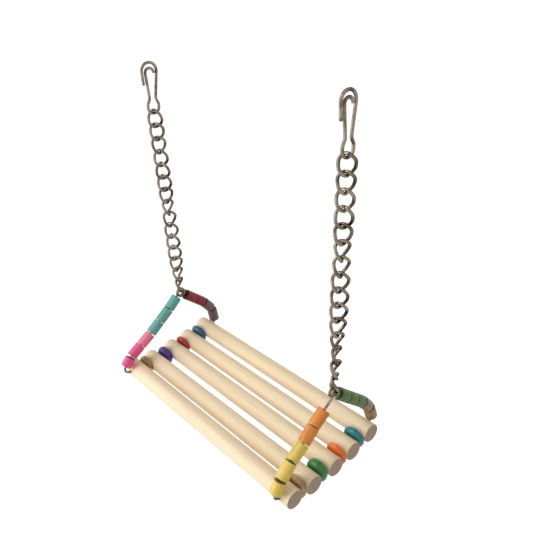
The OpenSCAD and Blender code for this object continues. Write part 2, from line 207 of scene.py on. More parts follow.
class WireSizes(bpy.types.PropertyGroup):
    """Sizes of the two frame wires."""

    wire_d: length("Frame wire", "Thickness of the frame wire", 1.5)
    wire_inset: length("Frame inset", "Distance of each frame from the ends of the dowels", 7)
    front_lead: length("Front lead", "Bare wire between the row of dowels and a front bend", 0.4)
    rear_lead: lengths("Rear lead", "Bare wire between the row and a rear bend, left and right", 0.6, 0.8)
    front_bend_r: lengths("Front bend", "Radius of the front bend, left and right", 3.6, 3)
    rear_bend_r: length("Rear bend", "Radius of the rear bend of both frames", 2.4)
    low_clear: length("Low clearance", "Bare wire between the bend of a leg and its lowest bead", 0.2)
    front_left_slope: angles("Front left slopes", SLOPES_UP, 42, 27, 27, 32, 32, 33)
    rear_left_slope: angles("Rear left slopes", SLOPES_UP, 94, 124, 134, 134)
    front_right_slope: angles("Front right slopes", SLOPES_UP, 53, 40, 31, 37, 36)
    rear_right_slope: angles("Rear right slopes", SLOPES_UP, 104, 126, 135, 135, 135)
    kink_r: length("Kink radius", "Radius of the slight bends between two beads of a leg", 4)
    top_bare: lengths("Bare top", "Bare wire above each top bead, left front first", 0.1, 0.1, 6.8, 0.2)
    eye_r: length("Eye radius", "Radius of the wire eye at the end of each leg", 2.9)
    eye_turn_r: length("Eye turn", "Radius of the small turn from a leg into its eye", 2)
    eye_split: length("Eye split", "Distance of each of the two eyes from the frame's plane", 0.9)
    eye_arc: angle("Eye arc", "How far round its circle a wire eye goes", 296)


class HangSizes(bpy.types.PropertyGroup):
    """Sizes of the chains and the hooks."""

    link_wire: length("Chain wire", "Thickness of the chain wire", 1.85)
    link_len: length("Link length", "Outside length of a link", 12.7)
    link_w: length("Link width", "Outside width of a link", 10.3)
    link_play: length("Link play", "Play between a link and what it hangs on", 0.2)
    hook_wire: length("Hook wire", "Thickness of the hook wire", 1.8)
    hook_drop: length("Hook drop", "From the bearing of a hook down to the wire of its eye", 26.9)
    hook_eye_w: length("Hook eye width", "Width of a hook's eye between the middles of its wire", 8.2)
    hook_eye_flat: length("Hook eye flat", "Straight wire left between the bends of the eye", 0.6)
    hook_waist_w: length("Hook waist", "Gap between the two legs above the eye", 4.4)
    hook_waist_rise: length("Waist height", "Height of the waist above the wire of the eye", 9)
    hook_waist_bend: length("Waist bend", "Bend radius at the waist", 4)
    hook_shoulder: length("Eye shoulder", "Height of the slope from the waist down to the eye", 3.1)
    hook_shoulder_bend: length("Shoulder bend", "Bend radius at the eye's shoulders", 3)
    hook_crook_w: length("Crook width", "Width of the outer crook between the middles of its wire", 12)
    hook_crook_flat: length("Crook flat", "Part of this width that the radii of its bends leave", 1.8)
    hook_crook_shift: length("Crook shift", "Distance of the outer crook ahead of the eye's middle", 0.2)
    hook_crook_rise: length("Crook rise", "Height of the outer crook above the inner one", 3.4)
    hook_tail: length("Hook tail", "Length of the free tail of the outer crook", 13.3)
    hook_tail_lean: length("Tail lean", "How far the tail's end leans inwards", 0.6)
    hook_inner_front: length("Inner crook front", "From the tail to the inner crook", 2.5)
    hook_inner_rear: length("Inner crook rear", "From the inner crook's tip to the outer crook", 3.2)
    hook_inner_bend: length("Inner bend", "Bend radius of the inner crook", 2.8)
    hook_tip: length("Inner tip", "Length of the turned-down tip of the inner crook", 3.2)


class Finishes(bpy.types.PropertyGroup):
    """Colours of the wood, the beads and the wires."""

    dowel: colour("Dowel wood", "Pale sanded wood along a dowel", 252, 233, 198)
    dowel_dark: colour("Dowel streaks", "Deeper streaks in a dowel's wood", 238, 209, 166)
    end_grain: colour("End grain", "Sawn end of a dowel", 186, 162, 140)
    natural_bead: colour("Natural bead", "Bare varnished wood of a spacer bead", 180, 152, 106)
    purple_bead: lacquer("Purple", 78, 38, 142)
    red_bead: lacquer("Red", 188, 20, 38)
    blue_bead: lacquer("Blue", 8, 98, 134)
    green_bead: lacquer("Green", 40, 122, 52)
    orange_spacer: lacquer("Orange", 240, 118, 24)
    teal_bead: lacquer("Teal", 26, 124, 128)
    pink_bead: dye("Pink", 244, 92, 148)
    pale_pink_bead: dye("Pale pink", 248, 132, 158)
    aqua_bead: dye("Blue-green", 104, 176, 166)
    mauve_bead: dye("Mauve", 122, 94, 102)
    maroon_bead: dye("Dark red", 140, 34, 40)
    yellow_bead: dye("Yellow", 242, 208, 100)
    orange_bead: dye("Orange", 238, 146, 62)
    tan_bead: dye("Tan", 168, 134, 96)
    dark_green_bead: dye("Dark green", 84, 114, 46)
    wire: colour("Wire", "Nickel-plated steel of the wires, chains and hooks", 142, 132, 118)
    wire_dark: colour("Dulled wire", "Dulled patches of the plating", 80, 68, 56)


class ViewSettings(bpy.types.PropertyGroup):
    """The camera, the floor and the light."""

    camera_at: lengths("Camera place", "Place of the camera", 257.096, -218.704, 52.457)
    camera_turn: angle("Camera azimuth", "Direction of the camera about the upright axis", 47.151)
    camera_tilt: angle("Camera elevation", "Angle of the camera above level", 25.817)
    camera_roll: angle("Camera roll", "Roll of the camera about its line of sight", 1.917)
    lens: amount("Lens", "Focal length in millimetres", 41.0755)
    floor_drop: length("Floor depth", "Depth of the floor below the hooks' bearings", 700)
    side_power: amount("Side light", "Power of the tall light at the left", 5.6)
    top_power: amount("Top light", "Power of the light above the front", 1.9)
    sky_strength: amount("Sky light", "Strength of the light all round", 0.5)


SETTINGS = {
    "bird_swing_seat": SeatSizes,
    "bird_swing_wires": WireSizes,
    "bird_swing_hang": HangSizes,
    "bird_swing_finishes": Finishes,
    "bird_swing_view": ViewSettings,
}


def heading(slope):
    """The direction in a frame's plane, rearward and upward, that rises at a slope."""
    return Vector((math.cos(slope), math.sin(slope)))


def bend_reach(radius, turn):
    """How far before its corner a bend starts."""
    return radius * math.tan(turn / 2)


def corner_clear(seat, turn):
    """The bare wire between a bead and a corner of its wire, so that the bead past the corner clears it."""
    rise = (seat.bead_d / 2 - seat.bead_edge) * math.sin(turn / 2)
    return (seat.bead_gap / 2 + seat.bead_edge + rise) / math.cos(turn / 2) - seat.bead_edge


class Leg:
    """One leg of a frame, from the bend under its lowest bead to the eye at its end."""

    def __init__(self, layout, side, rear):
        seat = layout.seat
        wires = layout.wires
        name = ("rear_" if rear else "front_") + SIDES[side]
        self.layout = layout
        self.side = side
        self.rear = rear
        self.lengths = list(getattr(seat, name + "_len"))
        self.slopes = list(getattr(wires, name + "_slope"))
        self.bend_r = wires.rear_bend_r if rear else wires.front_bend_r[side]
        self.lead = wires.rear_lead[side] if rear else wires.front_lead
        turns = [abs(after - before) for before, after in zip(self.slopes, self.slopes[1:])]
        clears = [corner_clear(seat, turn) for turn in turns]
        self.below = [wires.low_clear] + clears
        self.above = clears + [wires.top_bare[2 * side + rear] + layout.eye_reach]
        self.place_corners()

    def place_corners(self):
        """Finds the corners in the frame's plane, before the leg is turned to its eye."""
        layout = self.layout
        row_end = layout.end_slope if self.rear else math.pi - layout.end_slope
        self.low_reach = bend_reach(self.bend_r, abs(row_end - self.slopes[0]))
        lead = layout.arc_reach + self.lead + self.low_reach
        self.low_corner = layout.arc_corner + lead * heading(row_end)
        stretches = [sum(parts) for parts in zip(self.below, self.lengths, self.above)]
        self.first_kink = self.low_corner + (self.low_reach + stretches[0]) * heading(self.slopes[0])
        stretches[-1] = math.sqrt(stretches[-1] ** 2 - layout.wires.eye_split**2)
        self.arms = [Vector((0, 0))]
        for stretch, slope in zip(stretches[1:], self.slopes[1:]):
            self.arms.append(self.arms[-1] + stretch * heading(slope))

    def settle(self, eyes_at):
        """Turns the leg about its first kink until its eye lies where both eyes of the frame meet."""
        layout = self.layout
        span = self.arms[-1]
        toward = eyes_at - self.first_kink
        turn = Matrix.Rotation(math.atan2(toward.y, toward.x) - math.atan2(span.y, span.x), 2)
        out = OUTWARD[self.side] * (-1 if self.rear else 1) * layout.wires.eye_split
        self.eye = layout.in_frame(self.side, eyes_at) + Vector((out, 0, 0))
        self.kinks = [layout.in_frame(self.side, self.first_kink + turn @ arm) for arm in self.arms[:-1]]
        self.toward = (self.eye - self.kinks[-1]).normalized()
        self.end = self.eye - layout.eye_reach * self.toward

    def bead_place(self, number):
        """A bead's middle and direction in the seat's space, counted from the bottom."""
        half = self.lengths[number] / 2
        if number == 0:
            toward = heading(self.slopes[0])
            reach = self.low_reach + self.below[0] + half
            middle = self.layout.in_frame(self.side, self.low_corner + reach * toward)
            return middle, Vector((0, toward[0], toward[1]))
        start = self.kinks[number - 1]
        ahead = (self.kinks + [self.eye])[number]
        toward = (ahead - start).normalized()
        return start + (self.below[number] + half) * toward, toward


def meeting_place(front, rear):
    """Where the eyes of two legs meet in their frame's plane, when both legs turn about their first kinks."""
    apart = rear.first_kink - front.first_kink
    reach = front.arms[-1].length_squared
    ahead = (reach - rear.arms[-1].length_squared + apart.length_squared) / (2 * apart.length)
    up = math.sqrt(reach - ahead**2)
    toward = apart.normalized()
    return front.first_kink + ahead * toward + up * Vector((-toward.y, toward.x))


class Layout:
    """Where every piece lies, worked out from the sizes. Places on the seat are in the seat's own space."""

    def __init__(self, scene):
        self.seat = scene.bird_swing_seat
        self.wires = scene.bird_swing_wires
        self.hang = scene.bird_swing_hang
        self.look = scene.bird_swing_finishes
        self.place_dowels()
        self.place_legs()
        self.place_hang()

    def place_dowels(self):
        """Finds the dowels' angles along the arc of the row."""
        seat = self.seat
        steps = [(seat.dowel_d + thick + 2 * seat.spacer_play) / seat.row_r for thick in seat.spacer_t]
        half = sum(steps) / 2
        self.dowel_angles = [sum(steps[:n]) - half for n in range(DOWEL_COUNT)]
        self.end_slope = half + math.asin(seat.dowel_d / 2 / seat.row_r)
        self.arc_reach = seat.row_r * math.tan(self.end_slope)
        self.arc_corner = Vector((0, seat.row_r * (1 - 1 / math.cos(self.end_slope))))

    def place_legs(self):
        """Finds the four legs, whose eyes meet in pairs."""
        wires = self.wires
        self.wire_x = self.seat.dowel_len / 2 - wires.wire_inset
        self.eye_reach = math.sqrt((wires.eye_r + wires.eye_turn_r) ** 2 - wires.eye_turn_r**2)
        self.legs = [Leg(self, side, rear) for side in (0, 1) for rear in (False, True)]
        self.eyes_at = [meeting_place(*self.legs[:2]), meeting_place(*self.legs[2:])]
        for leg in self.legs:
            leg.settle(self.eyes_at[leg.side])

    def place_hang(self):
        """Finds how the chains hang and how the seat hangs on them."""
        hang = self.hang
        seat = self.seat
        self.link_reach = hang.link_len - hang.link_wire
        self.link_pitch = self.link_reach - hang.link_wire - hang.link_play
        self.chain_drop = (LINK_COUNT - 1) * self.link_pitch + self.link_reach
        self.chain_top = -hang.hook_drop + hang.hook_wire / 2 + hang.link_wire / 2 + hang.link_play
        span = Euler((seat.seat_pitch, 0, 0)).to_matrix() @ (self.apex(1) - self.apex(0))
        turn_of = Matrix.Rotation(seat.seat_yaw, 2)
        feet = turn_of @ Vector((math.hypot(span.x, span.z), span.y))
        self.hook_x = feet.x / 2
        self.chain_lean = math.asin(feet.y / 2 / self.chain_drop)
        turn = Euler((seat.seat_pitch, math.atan2(span.z, span.x), seat.seat_yaw)).to_matrix()
        seat_at = self.chain_foot(0) - turn @ self.apex(0)
        self.on_seat = Matrix.Translation(seat_at) @ turn.to_4x4()

    def on_arc(self, around):
        """A place on the arc of the row, rearward and upward."""
        return Vector((self.seat.row_r * math.sin(around), self.seat.row_r * (1 - math.cos(around))))

    def in_frame(self, side, place):
        """A place in a frame's plane, as a place in the seat's space."""
        return Vector((OUTWARD[side] * self.wire_x, place[0], place[1]))

    def apex(self, side):
        """Where a chain bears on the eyes of its frame."""
        drop = self.wires.eye_r - self.wires.wire_d / 2 - self.hang.link_wire / 2 - self.hang.link_play
        return self.in_frame(side, self.eyes_at[side] + Vector((0, drop)))

    def chain_foot(self, side):
        """Where the last link of a chain bears."""
        along = self.chain_drop * math.sin(self.chain_lean)
        down = self.chain_drop * math.cos(self.chain_lean)
        return Vector((OUTWARD[side] * self.hook_x, OUTWARD[side] * along, self.chain_top - down))

    def on_chain(self, side, number):
        """The space of one link, with its highest point at the origin."""
        top = Matrix.Translation((OUTWARD[side] * self.hook_x, 0, self.chain_top))
        lean = Matrix.Rotation(OUTWARD[side] * self.chain_lean, 4, "X")
        return top @ lean @ Matrix.Translation((0, 0, -number * self.link_pitch))


# The longest steps along a bend, and the turn below which a wire counts as straight
BEND_STEP = math.radians(6)
BEND_SPACING = 2 * MM
WIRE_STRAIGHT = math.radians(0.5)
BEND_STEPS_MIN = 3


def bend_points(start, along, inward, radius, turn):
    """The places along a bend that starts in one direction and turns inward."""
    steps = max(BEND_STEPS_MIN, math.ceil(turn / BEND_STEP), math.ceil(radius * turn / BEND_SPACING))
    places = []
    for n in range(steps + 1):
        around = turn * n / steps
        places.append(start + radius * (math.sin(around) * along + (1 - math.cos(around)) * inward))
    return places


def rounded_line(corners, radii):
    """The places along a line of corners, each rounded to its own radius."""
    places = [corners[0]]
    for before, corner, after, radius in zip(corners, corners[1:], corners[2:], radii[1:]):
        u = (corner - before).normalized()
        v = (after - corner).normalized()
        turn = u.angle(v)
        if turn < WIRE_STRAIGHT:
            continue
        inward = (v - v.dot(u) * u).normalized()
        places += bend_points(corner - bend_reach(radius, turn) * u, u, inward, radius, turn)
    return places + [corners[-1]]


def wire_heading(points, n, closed):
    """The direction of a line at one of its points, halfway between the stretches on both sides."""
    toward = Vector((0, 0, 0))
    if closed or n > 0:
        toward += (points[n] - points[n - 1]).normalized()
    if closed or n < len(points) - 1:
        toward += (points[(n + 1) % len(points)] - points[n]).normalized()
    return toward.normalized()


def add_tube(mesh, points, acrosses, widths, sides, closed=False):
    """Adds a round wire along the points to a mesh, with its own width and crosswise direction at each."""
    rings = []
    for n, point in enumerate(points):
        along = wire_heading(points, n, closed)
        out = along.cross(acrosses[n]).normalized()
        up = out.cross(along)
        ring = []
        for k in range(sides):
            around = 2 * math.pi * k / sides
            spoke = math.cos(around) * out + math.sin(around) * up
            ring.append(mesh.verts.new(point + widths[n] / 2 * spoke))
        rings.append(ring)
    join_rings(mesh, rings, closed)


def join_rings(mesh, rings, closed):
    """Adds the faces between neighbouring rings of points, and caps the ends of an open row of rings."""
    for n in range(len(rings) if closed else len(rings) - 1):
        near = rings[n]
        far = rings[(n + 1) % len(rings)]
        for k in range(len(near)):
            j = (k + 1) % len(near)
            mesh.faces.new((near[k], far[k], far[j], near[j]))
    if not closed:
        mesh.faces.new(rings[0])
        mesh.faces.new(list(reversed(rings[-1])))


# The width that the rounded end of a cut wire loses, and its length, as shares of the wire's width
TIP = 0.16


def add_wire(mesh, points, width, sides):
    """Adds a bent wire that lies across the X axis, with the slightly rounded ends of cut wire."""
    ends = []
    for end, inner in ((points[0], points[1]), (points[-1], points[-2])):
        ends.append(end + (inner - end).normalized() * min(TIP * width, (inner - end).length / 2))
    places = [points[0], ends[0]] + points[1:-1] + [ends[1], points[-1]]
    tapered = (1 - TIP) * width
    widths = [tapered] + [width] * (len(places) - 2) + [tapered]
    add_tube(mesh, places, [Vector((1, 0, 0))] * len(places), widths, sides)


def add_turned(mesh, outline, segments, place=Matrix.Identity(4)):
    """Adds the solid that an outline of radii and heights sweeps about the Z axis of a place.

    An outline that starts at the axis is capped at both ends, and any other closes on itself.
    """
    solid = outline[0][0] == 0
    kept = outline[1:-1] if solid else outline
    rings = []
    for radius, height in kept:
        ring = []
        for k in range(segments):
            around = 2 * math.pi * k / segments
            spot = Vector((radius * math.cos(around), radius * math.sin(around), height))
            ring.append(mesh.verts.new(place @ spot))
        rings.append(ring)
    join_rings(mesh, rings, not solid)


EDGE_STEPS = 6


def turned_outline(inner, outer, height, edge, inner_edge=0.0):
    """The outline of a turned piece with rounded edges, from its lower inner corner to its upper one."""
    lower = []
    for n in range(EDGE_STEPS + 1):
        around = math.pi / 2 * n / EDGE_STEPS
        lower.append((outer - edge + edge * math.sin(around), edge * (1 - math.cos(around)) - height / 2))
    start = [(inner, -height / 2)]
    if inner_edge:
        start = [(inner, inner_edge - height / 2), (inner + inner_edge, -height / 2)]
    half = start + lower
    return half + [(radius, -place) for radius, place in reversed(half)]


# Edges sharper than this stay crisp
SHARP = math.radians(40)

# How far the grain of one piece lies from the next one's, so that no two are alike
GRAIN_SPREAD = Vector((37 * MM, 53 * MM, 0))

# How far a piece's box may differ from the box of the plain solid that it stands for
FIT = 0.4 * MM


def mesh_data(name, mesh):
    """Ends the making of a mesh, with its faces outward."""
    data = bpy.data.meshes.new(name)
    bmesh.ops.recalc_face_normals(mesh, faces=mesh.faces)
    mesh.to_mesh(data)
    mesh.free()
    return data


def new_object(name, data):
    """Adds an object to the scene."""
    made = bpy.data.objects.new(name, data)
    bpy.context.scene.collection.objects.link(made)
    return made


def new_piece(name, mesh, place, material, seed=0, half=0.0):
    """Makes an object of a mesh that was built in its own space, which its grain then keeps.

    The seed sets where in the grain the piece is cut. A piece with shaded ends also keeps half its length.
    """
    data = mesh_data(name, mesh)
    grain = data.attributes.new("grain", "FLOAT_VECTOR", "POINT")
    shift = seed * GRAIN_SPREAD
    grain.data.foreach_set("vector", [part for vert in data.vertices for part in vert.co + shift])
    data.attributes.new("half", "FLOAT", "POINT").data.foreach_set("value", [half] * len(data.vertices))
    data.transform(place)
    data.shade_smooth()
    data.set_sharp_from_angle(angle=SHARP)
    data.materials.append(material)
    return new_object(name, data)


def add_piece(node, made, mesh, place, material, seed=0, half=0.0):
    """Makes the piece that takes the place of a node's plain solid, on the same body."""
    piece = new_piece(f"{node}_{made}", mesh, place, material, seed, half)
    corners = [Vector(corner) for corner in piece.bound_box]
    lowest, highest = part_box(node)
    for axis in range(3):
        values = [corner[axis] for corner in corners]
        if abs(min(values) - lowest[axis]) > FIT or abs(max(values) - highest[axis]) > FIT:
            raise ValueError(f"{piece.name} does not lie where {node} is")
    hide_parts(node)
    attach(piece, frame["nodes"][node]["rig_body"])


def tone(value):
    """The colour of a setting as the shader needs it."""
    return (*Color(value[:3]).from_srgb_to_scene_linear(), 1.0)


def shifted(shade, factor, lift=0.0):
    """A deeper or paler shade of a colour."""
    return tuple(min(1.0, part * factor + lift) for part in shade[:3])


# The inputs and the output that a Mix node uses for colours
COLOUR_MIX = (0, 6, 7)
MIXED_COLOUR = 2


class Nodes:
    """Short calls that add shader nodes to a tree."""

    def __init__(self, tree):
        self.tree = tree

    def set(self, node, name, value):
        """Sets or links one input of a node."""
        socket = node.inputs[name]
        if isinstance(value, bpy.types.NodeSocket):
            self.tree.links.new(value, socket)
        else:
            socket.default_value = value

    def add(self, kind, values=None, **settings):
        """Adds a node with its settings and its inputs."""
        node = self.tree.nodes.new("ShaderNode" + kind)
        for name, value in settings.items():
            setattr(node, name, value)
        for name, value in (values or {}).items():
            self.set(node, name, value)
        return node

    def span(self, value, low, high, to_low=0.0, to_high=1.0):
        """Stretches a value from one range to another, held at both ends."""
        values = {"Value": value, "From Min": low, "From Max": high, "To Min": to_low, "To Max": to_high}
        return self.add("MapRange", values, clamp=True).outputs["Result"]

    def math(self, operation, first, second=0.0):
        """A sum on two numbers."""
        return self.add("Math", {0: first, 1: second}, operation=operation).outputs["Value"]

    def seen(self):
        """1 for what the camera sees, also by reflection or through glass, and 0 for light that falls."""
        ray = self.add("LightPath")
        either = self.math("MAXIMUM", ray.outputs["Is Camera Ray"], ray.outputs["Is Glossy Ray"])
        return self.math("MAXIMUM", either, ray.outputs["Is Transmission Ray"])


class Paint(Nodes):
    """A material whose patterns follow the piece's own axis."""

    def __init__(self, name):
        self.material = bpy.data.materials.new(name)
        self.material.use_nodes = True
        super().__init__(self.material.node_tree)
        self.shader = self.tree.nodes["Principled BSDF"]

    def surface(self, **values):
        """Sets inputs of the shader."""
        for name, value in values.items():
            self.set(self.shader, name.replace("_", " ").title().replace("Ior", "IOR"), value)

    def noise(self, vector, scale, detail=3.0, roughness=0.55, distortion=0.0):
        """A noise from 0 to 1."""
        values = {"Vector": vector, "Scale": scale, "Detail": detail, "Roughness": roughness}
        return self.add("TexNoise", {**values, "Distortion": distortion}).outputs["Fac"]

    def own_place(self):
        """The place in the space that the piece was built in."""
        return self.add("Attribute", attribute_name="grain").outputs["Vector"]

    def grain(self, across, along, detail=3.0, roughness=0.55, distortion=0.0):
        """A noise with so many cells in a millimetre across the piece's axis and along it."""
        scale = (across / MM, across / MM, along / MM)
        cells = self.add("Mapping", {"Vector": self.own_place(), "Scale": scale}).outputs["Vector"]
        return self.noise(cells, 1.0, detail, roughness, distortion)

    def height(self):
        """The place along the piece's axis, as a distance from its middle."""
        return self.math("ABSOLUTE", self.add("SeparateXYZ", {"Vector": self.own_place()}).outputs["Z"])

    def mix(self, factor, first, second):
        """Mixes two colours."""
        node = self.add("Mix", data_type="RGBA")
        for socket, value in zip(COLOUR_MIX, (factor, first, second)):
            self.set(node, socket, value)
        return node.outputs[MIXED_COLOUR]

    def stain(self, face, pattern, low, high, strength, shade):
        """Mixes a shade into a colour, up to a strength, where a pattern rises from low to high."""
        return self.mix(self.span(pattern, low, high, 0.0, strength), face, tone(shade))

    def bump(self, height, depth):
        """Raises the surface by a height from 0 to 1."""
        return self.add("Bump", {"Height": height, "Strength": 1.0, "Distance": depth}).outputs["Normal"]


ROSY_WOOD = (0.955, 0.86, 0.78)
PORE_BROWN = (0.7, 0.56, 0.42)
RING_BROWN = (0.66, 0.56, 0.47)
SAWN_PALE = (0.8, 0.71, 0.61)

# Where the sawn end's colour starts and is full, as shares of the rounded edge
SAWN_FROM = 0.5
SAWN_FULL = 0.12

# How deep the grain of each finish goes
DOWEL_NAP = 0.045 * MM
DYED_NAP = 0.035 * MM
LACQUER_NAP = 0.02 * MM
VARNISH_NAP = 0.03 * MM
SCUFF_DEPTH = 0.01 * MM


def dowel_wood(seat, look):
    """Pale sanded hardwood with fine fibres, soft growth bands and darker sawn ends."""
    paint = Paint("dowel_wood")
    bands = paint.grain(0.16, 0.006, 4.0, 0.5, 1.4)
    fibres = paint.grain(1.5, 0.05, 5.0, 0.62)
    patches = paint.grain(0.05, 0.02, 2.0)
    pores = paint.grain(3.4, 0.22, 2.0, 0.5)
    streaks = paint.span(bands, 0.42, 0.66, 0.0, 0.55)
    threads = paint.span(fibres, 0.5, 0.75, 0.0, 0.55)
    side = paint.mix(paint.math("ADD", streaks, threads), tone(look.dowel), tone(look.dowel_dark))
    side = paint.stain(side, patches, 0.45, 0.75, 0.35, ROSY_WOOD)
    side = paint.stain(side, pores, 0.66, 0.78, 0.3, PORE_BROWN)
    rings = paint.grain(0.55, 0.1, 3.0, 0.6, 0.8)
    saw = paint.grain(2.8, 2.0, 3.0, 0.7)
    end = paint.stain(tone(look.end_grain), rings, 0.35, 0.68, 0.8, RING_BROWN)
    end = paint.stain(end, saw, 0.45, 0.72, 0.4, SAWN_PALE)
    half = seat.dowel_len / 2
    edge = seat.dowel_edge
    sawn = paint.span(paint.height(), half - SAWN_FROM * edge, half - SAWN_FULL * edge)
    raised = paint.math("ADD", fibres, paint.math("MULTIPLY", pores, -0.6))
    paint.surface(base_color=paint.mix(sawn, side, end), roughness=paint.span(fibres, 0.3, 0.7, 0.5, 0.62))
    paint.surface(normal=paint.bump(raised, DOWEL_NAP), specular_ior_level=0.3)
    return paint.material


# How far in from its end a leg bead is darker, partly from dye that its end grain soaks up and partly from
# painted shade of the joint at its end
END_DYE_AND_PAINTED_SHADE = 0.35 * MM


def dyed_wood(name, shade):
    """Dyed wood of a leg bead: grain along the bead, fine turning marks round it and darker ends, which are
    partly deeper dye in the end grain and partly painted shade of the joints where a bead meets its
    neighbours
    """
    paint = Paint(name)
    deep = shifted(shade, 0.68)
    pale = shifted(shade, 0.78, 0.2)
    grain = paint.grain(1.3, 0.16, 4.0, 0.6, 0.4)
    veins = paint.grain(0.34, 0.03, 3.0, 0.55, 1.0)
    turning = paint.grain(0.05, 4.2, 2.0, 0.6)
    face = paint.stain(tone(shade), grain, 0.48, 0.74, 0.45, deep)
    face = paint.stain(face, veins, 0.5, 0.68, 0.34, deep)
    face = paint.stain(face, veins, 0.46, 0.3, 0.34, pale)
    face = paint.stain(face, turning, 0.52, 0.75, 0.16, deep)
    half = paint.add("Attribute", attribute_name="half").outputs["Fac"]
    inset = paint.math("SUBTRACT", paint.height(), half)
    # Darkens each end of the bead: deeper dye in the end grain, and painted shade of the joint there
    face = paint.stain(face, inset, -END_DYE_AND_PAINTED_SHADE, 0.0, 0.7, shifted(shade, 0.45))
    rough = paint.span(grain, 0.3, 0.7, 0.38, 0.5)
    raised = paint.math("ADD", grain, paint.math("MULTIPLY", turning, 0.7))
    paint.surface(base_color=face, roughness=rough, normal=paint.bump(raised, DYED_NAP))
    paint.surface(specular_ior_level=0.35, coat_weight=0.08, coat_roughness=0.3)
    return paint.material


def lacquered_wood(name, shade):
    """Lacquered wood of a spacer bead: a glossy coat over dye that is darker in the grain."""
    paint = Paint(name)
    deep = shifted(shade, 0.6)
    grain = paint.grain(0.9, 0.3, 4.0, 0.6, 0.6)
    blotches = paint.grain(0.22, 0.22, 2.0, 0.5)
    face = paint.stain(tone(shade), grain, 0.46, 0.72, 0.45, deep)
    pale = shifted(shade, 0.9, 0.06)
    face = paint.stain(face, blotches, 0.42, 0.7, 0.3, pale)
    dust = paint.grain(1.6, 1.6, 3.0, 0.7)
    paint.surface(base_color=face, roughness=paint.span(dust, 0.35, 0.7, 0.26, 0.36))
    paint.surface(normal=paint.bump(grain, LACQUER_NAP), specular_ior_level=0.4)
    paint.surface(coat_weight=0.3, coat_roughness=0.12)
    return paint.material


def natural_wood(name, shade):
    """Bare varnished wood of a spacer bead, with soft brown rings."""
    paint = Paint(name)
    deep = shifted(shade, 0.72)
    pale = shifted(shade, 1.14)
    bands = paint.grain(0.2, 0.5, 3.0, 0.5, 0.8)
    fibres = paint.grain(1.8, 0.5, 4.0, 0.6)
    face = paint.stain(tone(pale), bands, 0.36, 0.66, 1.0, deep)
    face = paint.stain(face, fibres, 0.5, 0.75, 0.3, deep)
    paint.surface(base_color=face, roughness=paint.span(fibres, 0.3, 0.7, 0.38, 0.5))
    paint.surface(normal=paint.bump(fibres, VARNISH_NAP), specular_ior_level=0.4)
    paint.surface(coat_weight=0.15, coat_roughness=0.25)
    return paint.material


METAL_EDGE = (0.1, 0.09, 0.08, 1.0)
SCUFF_BROWN = (0.27, 0.23, 0.19)

# Cells in a metre
SPOT_SCALE = 160.0
SCUFF_SCALE = 1500.0


def steel_wire(name, look, dulled, gloss):
    """Nickel-plated steel wire, a little dulled in places and finely scuffed."""
    paint = Paint(name)
    place = paint.add("TexCoord").outputs["Object"]
    spots = paint.noise(place, SPOT_SCALE, 3.0, 0.5)
    scuffs = paint.noise(place, SCUFF_SCALE, 3.0, 0.7)
    face = paint.stain(tone(look.wire), spots, 0.45 - dulled, 0.66 - dulled, 0.8, look.wire_dark)
    face = paint.stain(face, scuffs, 0.58, 0.78, 0.3, SCUFF_BROWN)
    paint.surface(base_color=face, roughness=paint.span(spots, 0.35, 0.65, gloss, gloss + 0.1), metallic=1.0)
    paint.surface(normal=paint.bump(scuffs, SCUFF_DEPTH), specular_tint=METAL_EDGE)
    return paint.material


DYED = sorted({name for leg in LEG_COLOURS for name in leg})
LACQUERED = sorted({name for side in SPACER_COLOURS for name in side} - {"natural_bead"})
DOWEL_SEGMENTS = 96
BEAD_SEGMENTS = 56
DRILL_SEGMENTS = 32

# The turn that lays a dowel, made upright, along the seat
LAID_DOWN = Matrix.Rotation(math.pi / 2, 4, "Y")

# The first grain of each side's spacers and of each leg's beads
SPACER_GRAINS = (10, 14)
LEG_GRAINS = (20, 27, 34, 41)

# The rounding of a spacer's rim as a share of its thickness, and of the edge of each bore
SPACER_RIM = 0.45
BORE_EDGE = 0.12 * MM


def cut_holes(piece_mesh, cutter_mesh, name):
    """Cuts one mesh out of another with a boolean modifier, and gives the result as a new mesh."""
    whole = new_object(name, mesh_data(name, piece_mesh))
    drill = new_object("drill", mesh_data("drill", cutter_mesh))
    cut = whole.modifiers.new("drill", "BOOLEAN")
    cut.operation = "DIFFERENCE"
    cut.object = drill
    cut.solver = "EXACT"
    drilled = bmesh.new()
    drilled.from_object(whole, bpy.context.evaluated_depsgraph_get())
    for made in (whole, drill):
        data = made.data
        bpy.data.objects.remove(made)
        bpy.data.meshes.remove(data)
    return drilled


def dowel_drills(layout, around):
    """The two holes of a dowel, square to the wire, as one mesh in the dowel's own space."""
    reach = layout.seat.dowel_d
    bore = layout.seat.hole_d / 2
    outline = [(0, -reach), (bore, -reach), (bore, reach), (0, reach)]
    turn = LAID_DOWN.inverted() @ Matrix.Rotation(around - math.pi / 2, 4, "X")
    drills = bmesh.new()
    for outward in OUTWARD:
        place = Matrix.Translation((0, 0, outward * layout.wire_x)) @ turn
        add_turned(drills, outline, DRILL_SEGMENTS, place)
    return drills


def bored_bead(seat, width, long, edge):
    """The mesh of a bead with rounded edges."""
    mesh = bmesh.new()
    outline = turned_outline(seat.bead_bore / 2, width / 2, long, edge, BORE_EDGE)
    add_turned(mesh, outline, BEAD_SEGMENTS)
    return mesh


